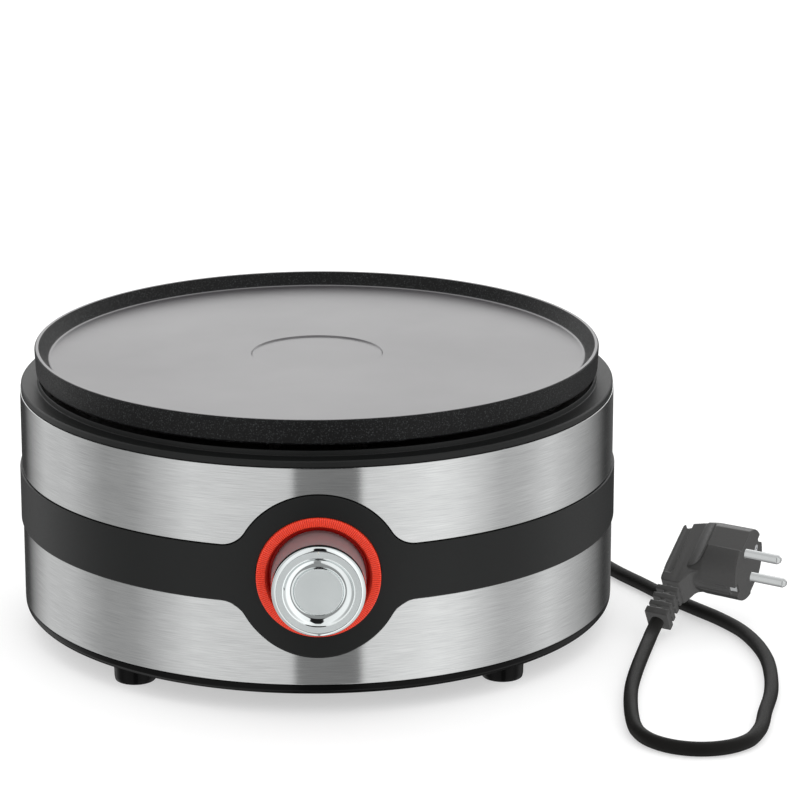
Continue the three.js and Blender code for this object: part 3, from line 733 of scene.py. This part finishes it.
def add_knob():
    """A turned cap: a flat disc, a dished groove round it, a flat ring and a rounded edge."""
    mesh = turned("knob", mm([
        (0, 172), (11.4, 172, 0.25), (12, 170.9, 0.4), (13.4, 170.7, 2.5), (15.6, 171.8, 3),
        (16.6, 172.8, 0.5), (17.1, 173, 0.3), (20.4, 173, 1.4), (22.1, 171.9, 1.6),
        (22.4, 169.2, 1.4), (22.4, 149.9, 0.15), (22.15, 149.6, 0.1), (22.15, 149, 0.1),
        (22.4, 148.7, 0.15), (22.4, 147.4, 0.3), (21.4, 147.4, 0.3), (21.4, 169, 0.3),
        (20.4, 169.4, 0.3), (0, 169.4)]), 240, steps=6)
    mesh.materials.append(KNOB_BRIGHT)
    paint(mesh, KNOB_SIDE, lambda p: p.z < 169 * MM)

    def flat(p):
        out = math.hypot(p.x, p.y)
        return (p.z > 171.9 * MM and out < 11.3 * MM) or (p.z > 172.9 * MM and
                                                          17.1 * MM < out < 20 * MM)

    # Painted reflection: the flat disc and the flat ring take the paler copy of the chrome.
    paint(mesh, KNOB_FLAT_PAINTED_REFLECTION, flat)
    mesh.transform(FACING_FRONT)
    piece("knob_cap", mesh, "chrome", body=KNOB, replaces=["knob_shell"], sharp=35)

    mark = bmesh.new()
    outline = [Vector((math.sin(t) * 0.35, math.cos(t) * 0.35 + (0.3 if math.cos(t) > 0 else
               -0.3), 0)) * MM for t in (math.pi * k / 8 for k in range(16))]
    low = [mark.verts.new(p + Vector((0, 0.0195, 0.1728))) for p in outline]
    high = [mark.verts.new(p * 0.9 + Vector((0, 0.0195, 0.17308))) for p in outline]
    for i in range(len(low)):
        j = (i + 1) % len(low)
        mark.faces.new((low[i], low[j], high[j], high[i]))
    mark.faces.new(high)
    mark.faces.new(list(reversed(low)))
    data = finished("mark", mark)
    data.transform(FACING_FRONT)
    piece("knob_pointer", data, "natural_plastic", body=KNOB)


add_light_ring()
add_knob()

# ------------------------------------------------------------ cord gland, inner lead, coil tie


def add_gland():
    """The boot: a flange on the back wall and a tapered sleeve with flexing grooves."""
    taper = [(6.6, 152.8, 0.3)]
    for k in range(6):
        at = 154.6 + 2.9 * k
        r = 6.6 - (at - 152.8) * 0.094
        taper += [(r, at, 0.25), (r - 0.95, at + 0.25, 0.2), (r - 1.0, at + 1.05, 0.2),
                  (r - 0.12, at + 1.3, 0.25)]
    mesh = turned("gland", mm([
        (3.8, 138), (6, 138, 0.2), (6, 149.2, 0.2), (8.5, 149.2, 0.3), (8.5, 151.8, 0.5),
        *taper, (4.75, 173, 0.4), (3.8, 173, 0.2)]), 48, closed=True, steps=3)
    place = Matrix.Translation((GLAND_X, 0, GLAND_Z)) @ Matrix.Rotation(-math.pi / 2, 4, "X")
    piece("cord_boot", mesh, "cord_black", replaces=["cord_gland"], place=place)


def add_inner_lead():
    """The lead inside the body, from the boot to the terminals."""
    points = [Vector(p) * MM for p in (
        (30, 64, 18.8), (30, 76, 18.8), (30, 92, 18.8), (30, 112, 22.9), (30, 132, 27),
        (30, 144, 27), (30, 151.6, 27))]
    data = smooth_curve("inner_lead", points, CORD_D)
    data.materials.append(MATERIALS["cord_black"])
    lead = bpy.data.objects.new("inner_lead", data)
    bpy.context.scene.collection.objects.link(lead)
    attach(lead, BODY)


def add_tie():
    """A strap round the coil's far side, a closed loop with rounded corners."""
    low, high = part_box("coil_tie")
    middle = (low + high) / 2
    half_y = (high.y - low.y) / 2 - 0.5 * MM
    half_z = (high.z - low.z) / 2 - 0.5 * MM
    loop = rounded([(-half_y, -half_z, 2.5 * MM), (half_y, -half_z, 2.5 * MM),
                    (half_y, half_z, 2.5 * MM), (-half_y, half_z, 2.5 * MM)], True, 6)
    mesh = bmesh.new()
    rows = []
    strap = [(-2.4, -0.25), (-2.2, -0.45), (2.2, -0.45), (2.4, -0.25), (2.4, 0.25), (2.2, 0.45),
             (-2.2, 0.45), (-2.4, 0.25)]
    for i, here in enumerate(loop):
        way = (loop[(i + 1) % len(loop)] - loop[i - 1]).normalized()
        out = Vector((way.y, -way.x))
        rows.append([mesh.verts.new((middle.x + x * MM,
                                     middle.y + here.x + out.x * n * MM,
                                     middle.z + here.y + out.y * n * MM)) for x, n in strap])
    for a, b in zip(rows, rows[1:] + rows[:1]):
        for i in range(len(strap)):
            j = (i + 1) % len(strap)
            mesh.faces.new((a[i], a[j], b[j], b[i]))
    return piece("coil_strap", finished("tie", mesh), "cord_black", replaces=["coil_tie"])


add_gland()
add_inner_lead()
tie = add_tie()

# ------------------------------------------------------------ plug


def prism(name, corners, low, high, steps=4):
    """An outline in X-Y, its corners rounded, between two heights."""
    outline = rounded(mm(corners), True, steps)
    mesh = bmesh.new()
    bottom = [mesh.verts.new((p.x, p.y, low * MM)) for p in outline]
    top = [mesh.verts.new((p.x, p.y, high * MM)) for p in outline]
    for i in range(len(bottom)):
        j = (i + 1) % len(bottom)
        mesh.faces.new((bottom[i], bottom[j], top[j], top[i]))
    mesh.faces.new(top)
    mesh.faces.new(list(reversed(bottom)))
    return finished(name, mesh)


ALONG_X = Matrix.Rotation(math.pi / 2, 4, "Y")


def box_mesh(low, high):
    (x0, y0, z0), (x1, y1, z1) = low, high
    return prism("box", [(x0, y0), (x1, y0), (x1, y1), (x0, y1)], z0, z1)


def add_plug():
    """The angled plug: a round body with a hollow each side, a flanged grip and a ribbed tail."""
    body = turned("plug", mm([(0, -26.8), (15, -26.8, 1.4), (17.4, -26.2, 1.4), (18.3, -19, 8),
                              (18.5, 0, 0.6), (0, 0)]), 128)
    body.transform(ALONG_X)
    grip = prism("grip", [(-22, 15.5, 1), (-28, 14.3, 3), (-36, 11.7, 3), (-38.2, 10.4, 1.5),
                          (-38.4, -15, 3), (-37.6, -25.6, 2), (-27.4, -25.6, 2),
                          (-23.6, -17, 5), (-20, -16, 2)], -8.8, 8.8, 5)
    core = turned("core", mm([(0, 22), (4.2, 22), (4.2, TAIL_END, 0.6), (0, TAIL_END)]), 40)
    core.transform(Matrix.Translation((TAIL_X * MM, 0, 0)) @ Matrix.Rotation(math.pi / 2, 4, "X"))
    for part in (grip, core, tail_box(22, 44, 1.3, 5.6), tail_box(22, 44, 5.6, 1.3)):
        body = cut_with(body, part, "UNION")
    for k in range(3):
        near = 26.4 + 5 * k
        body = cut_with(body, tail_box(near, near + 3.1, 5.9, 5.9), "UNION")
    body = cut_with(body, tail_box(41, TAIL_END - 0.1, 6.2, 6.2), "UNION")
    for side in (-1, 1):
        hollow = turned("hollow", mm([(0, -40), (12.5, -40), (12.5, 40), (0, 40)]), 96)
        hollow.transform(Matrix.Translation((-30 * MM, 0, side * 21.2 * MM))
                         @ Matrix.Rotation(math.pi / 2, 4, "X"))
        for tool in (hollow,
                     box_mesh((-37, -20, side * 9.2 - 3.7), (-33.6, 18, side * 9.2 + 3.7)),
                     box_mesh((-27.8, -4.6, side * 18.9 - 2.7), (1, 12, side * 18.9 + 2.7)),
                     box_mesh((-21, side * 16 - 1.2, -3.2), (1, side * 16 + 1.2, 3.2)),
                     box_mesh((-3.5, side * 17 - 2.2, -3.2), (1, side * 17 + 2.2, 3.2)),
                     box_mesh((-21, side * 19 - 1.1, -3.2), (-5, side * 19 + 1.1, -1.8)),
                     box_mesh((-21, side * 19 - 1.1, 1.8), (-5, side * 19 + 1.1, 3.2))):
            body = cut_with(body, tool)
    shape = bpy.data.objects.new("shape", body)
    bpy.context.scene.collection.objects.link(shape)
    remesh = shape.modifiers.new("remesh", "REMESH")
    remesh.mode = "VOXEL"
    remesh.voxel_size = 0.36 * MM
    smooth = shape.modifiers.new("smooth", "SMOOTH")
    smooth.iterations = 4
    body = bpy.data.meshes.new_from_object(
        shape.evaluated_get(bpy.context.evaluated_depsgraph_get()))
    bpy.data.objects.remove(shape)
    for (y, z), r, deep in (((11, 0), 2.45, 15), ((0, -9.5), 2.7, 7), ((0, 9.5), 2.7, 7)):
        hole = turned("hole", mm([(0, -deep), (r, -deep), (r, 2), (0, 2)]), 32)
        hole.transform(Matrix.Translation((0, y * MM, z * MM)) @ ALONG_X)
        body = cut_with(body, hole)
    body.materials.clear()
    body.materials.append(PLUG_BLACK)
    return piece("plug_moulding", body, "cord_black", replaces=["plug_body"], place=PLUG_AT,
                 sharp=60)


def tail_box(near, far, wide, thick):
    return box_mesh((TAIL_X - wide, -far, -thick), (TAIL_X + wide, -near, thick))


def add_pin(number):
    side = -1 if number == 1 else 1
    mesh = turned("pin", mm([(0, -6.6), (2.4, -6.6, 0.3), (2.4, 17.2, 1.2), (1.2, 18.8, 0.7),
                             (0, 19)]), 40, steps=6)
    mesh.materials.clear()
    mesh.materials.append(PIN_CHROME)
    place = PLUG_AT @ Matrix.Translation((0, 0, side * 9.5 * MM)) @ ALONG_X
    return piece(f"pin_{number}", mesh, "chrome", replaces=[f"plug_pin_{number}"], place=place)


def add_clip(number):
    """A bent steel strip, pinched outwards in its middle, in the plug's side."""
    side = -1 if number == 1 else 1
    count = 20
    mesh = bmesh.new()
    rows = []
    for k in range(count + 1):
        x = -20.4 + 19.4 * k / count
        swell = 0.4 * math.sin(math.pi * k / count) ** 2
        rows.append([mesh.verts.new(Vector((x, side * (15.6 + swell + n), z)) * MM)
                     for z, n in ((-2.6, -0.2), (-2.3, -0.35), (2.3, -0.35), (2.6, -0.2),
                                  (2.6, 0.2), (2.3, 0.35), (-2.3, 0.35), (-2.6, 0.2))])
    for a, b in zip(rows, rows[1:]):
        for i in range(8):
            j = (i + 1) % 8
            mesh.faces.new((a[i], a[j], b[j], b[i]))
    mesh.faces.new(rows[0])
    mesh.faces.new(rows[-1])
    return piece(f"earth_clip_{number}", finished("clip", mesh), "plain_steel",
                 replaces=[f"plug_earth_clip_{number}"], place=PLUG_AT)


def add_sleeve():
    """The metal sleeve that takes a socket's earth pin, its mouth flared."""
    mesh = turned("sleeve", mm([(1.75, -12), (2.35, -12, 0.1), (2.35, -0.2, 0.15),
                                (2.1, -0.2, 0.1), (1.75, -1, 0.3)]), 40, closed=True, steps=3)
    place = PLUG_AT @ Matrix.Translation((0, 11 * MM, 0)) @ ALONG_X
    return piece("earth_sleeve", mesh, "plain_steel", replaces=["plug_earth_sleeve"],
                 place=place)


plug = add_plug()
on_plug = [add_pin(1), add_pin(2), add_clip(1), add_clip(2), add_sleeve()]
for obj in (cord, plug, *on_plug, tie):
    obj.visible_glossy = False

# ------------------------------------------------------------ floor and studio light

floor_mesh = bmesh.new()
bmesh.ops.create_grid(floor_mesh, x_segments=1, y_segments=1, size=8)
floor_data = bpy.data.meshes.new("floor")
floor_mesh.to_mesh(floor_data)
floor_mesh.free()
floor = bpy.data.objects.new("floor", floor_data)
bpy.context.scene.collection.objects.link(floor)
paper = Nodes("paper", Roughness=0.9, Base_Color=(0.55, 0.55, 0.55, 1), Specular_IOR_Level=0.0,
              Emission_Color=(1, 1, 1, 1), Emission_Strength=0.5)
floor_data.materials.append(paper.material)
floor.visible_glossy = False


def add_studio():
    """The room the object reflects: soft boxes left and right, dark between them, a pale back."""
    world = bpy.data.worlds.new("studio")
    world.use_nodes = True
    bpy.context.scene.world = world
    tree = world.node_tree
    links = tree.links

    def node(kind, **settings):
        made = tree.nodes.new("ShaderNode" + kind)
        for key, value in settings.items():
            setattr(made, key, value)
        return made

    split = node("SeparateXYZ")
    links.new(node("TexCoord").outputs["Generated"], split.inputs[0])
    ahead = node("Math", operation="MULTIPLY")
    links.new(split.outputs["Y"], ahead.inputs[0])
    ahead.inputs[1].default_value = -1
    turn = node("Math", operation="ARCTAN2")
    links.new(split.outputs["X"], turn.inputs[0])
    links.new(ahead.outputs[0], turn.inputs[1])
    share = node("MapRange")
    links.new(turn.outputs[0], share.inputs["Value"])
    share.inputs["From Min"].default_value = -math.pi
    share.inputs["From Max"].default_value = math.pi
    ramp = node("ValToRGB")
    links.new(share.outputs["Result"], ramp.inputs["Fac"])
    while len(ramp.color_ramp.elements) > 1:
        ramp.color_ramp.elements.remove(ramp.color_ramp.elements[0])
    ramp.color_ramp.elements[0].position = 0
    for i, (degrees, level) in enumerate(ROOM):
        at = (degrees + 180) / 360
        stop = ramp.color_ramp.elements[0] if i == 0 else ramp.color_ramp.elements.new(at)
        stop.position = at
        stop.color = (level / BRIGHTEST,) * 3 + (1,)

    def rise(value, low, high, to_low=0.0, to_high=1.0):
        made = node("MapRange", interpolation_type="SMOOTHSTEP")
        links.new(split.outputs[value], made.inputs["Value"])
        for socket, amount in (("From Min", low), ("From Max", high), ("To Min", to_low),
                               ("To Max", to_high)):
            made.inputs[socket].default_value = amount
        return made.outputs["Result"]

    def mixed(share, below, above):
        made = node("Mix", data_type="RGBA")
        links.new(share, made.inputs["Factor"])
        links.new(below, made.inputs["A"])
        links.new(above, made.inputs["B"])
        return made.outputs["Result"]

    def times(a, b):
        made = node("Math", operation="MULTIPLY")
        links.new(a, made.inputs[0])
        links.new(b, made.inputs[1])
        return made.outputs[0]

    def grey(level):
        made = node("Value")
        made.outputs[0].default_value = level / BRIGHTEST
        return made.outputs[0]

    gap = node("Math", operation="COMPARE")
    links.new(turn.outputs[0], gap.inputs[0])
    gap.inputs[1].default_value = math.radians((GAP_FROM + GAP_TO) / 2)
    gap.inputs[2].default_value = math.radians((GAP_TO - GAP_FROM) / 2)
    front = mixed(times(gap.outputs[0], rise("Z", 0.1, 0.3)), ramp.outputs["Color"], grey(0.02))
    wall = rise("Y", 0.25, 0.85, WALLS / BRIGHTEST, BACK / BRIGHTEST)
    upper = mixed(times(rise("Z", 0.05, 0.22), rise("Y", 0.0, 0.4)), front, wall)
    room = tree.nodes["Background"]
    links.new(mixed(rise("Z", 0.8, 0.95), upper, grey(CEILING)), room.inputs["Color"])
    room.inputs["Strength"].default_value = BRIGHTEST
    plain_back = node("Background")
    plain_back.inputs["Color"].default_value = (1, 1, 1, 1)
    choose = node("MixShader")
    links.new(node("LightPath").outputs["Is Camera Ray"], choose.inputs[0])
    links.new(room.outputs[0], choose.inputs[1])
    links.new(plain_back.outputs[0], choose.inputs[2])
    links.new(choose.outputs[0], tree.nodes["World Output"].inputs["Surface"])


BRIGHTEST = 2.4
CEILING = 1.3
WALLS = 1.15
BACK = 2.0
GAP_FROM, GAP_TO = -9, 16  # the dark gap between the two front soft boxes
EDGE = 1
# What stands round the object: (degrees from the front, positive to the right, brightness).
ROOM = [
    (-180, 0.2), (-170, 0.05), (-155, 0.05),  # dark behind
    (-130, 1.1), (-110, 1.1),  # rear left soft box
    (-90, 0.65), (-75, 0.7),  # wall on the left
    (-50, 1.5), (GAP_FROM - EDGE, 1.3),  # front left soft box
    (GAP_FROM, 0.45), (GAP_TO, 0.4),
    (GAP_TO + EDGE, 1.45), (45, 1.8), (55, 1.7),  # front right soft box
    (75, 1.0), (85, 1.0),  # wall on the right
    (100, 1.4), (125, 0.7),  # rear right soft box
    (145, 0.1), (150, 0.05), (180, 0.2),  # dark behind
]
add_studio()
bpy.context.scene.view_settings.view_transform = "Standard"
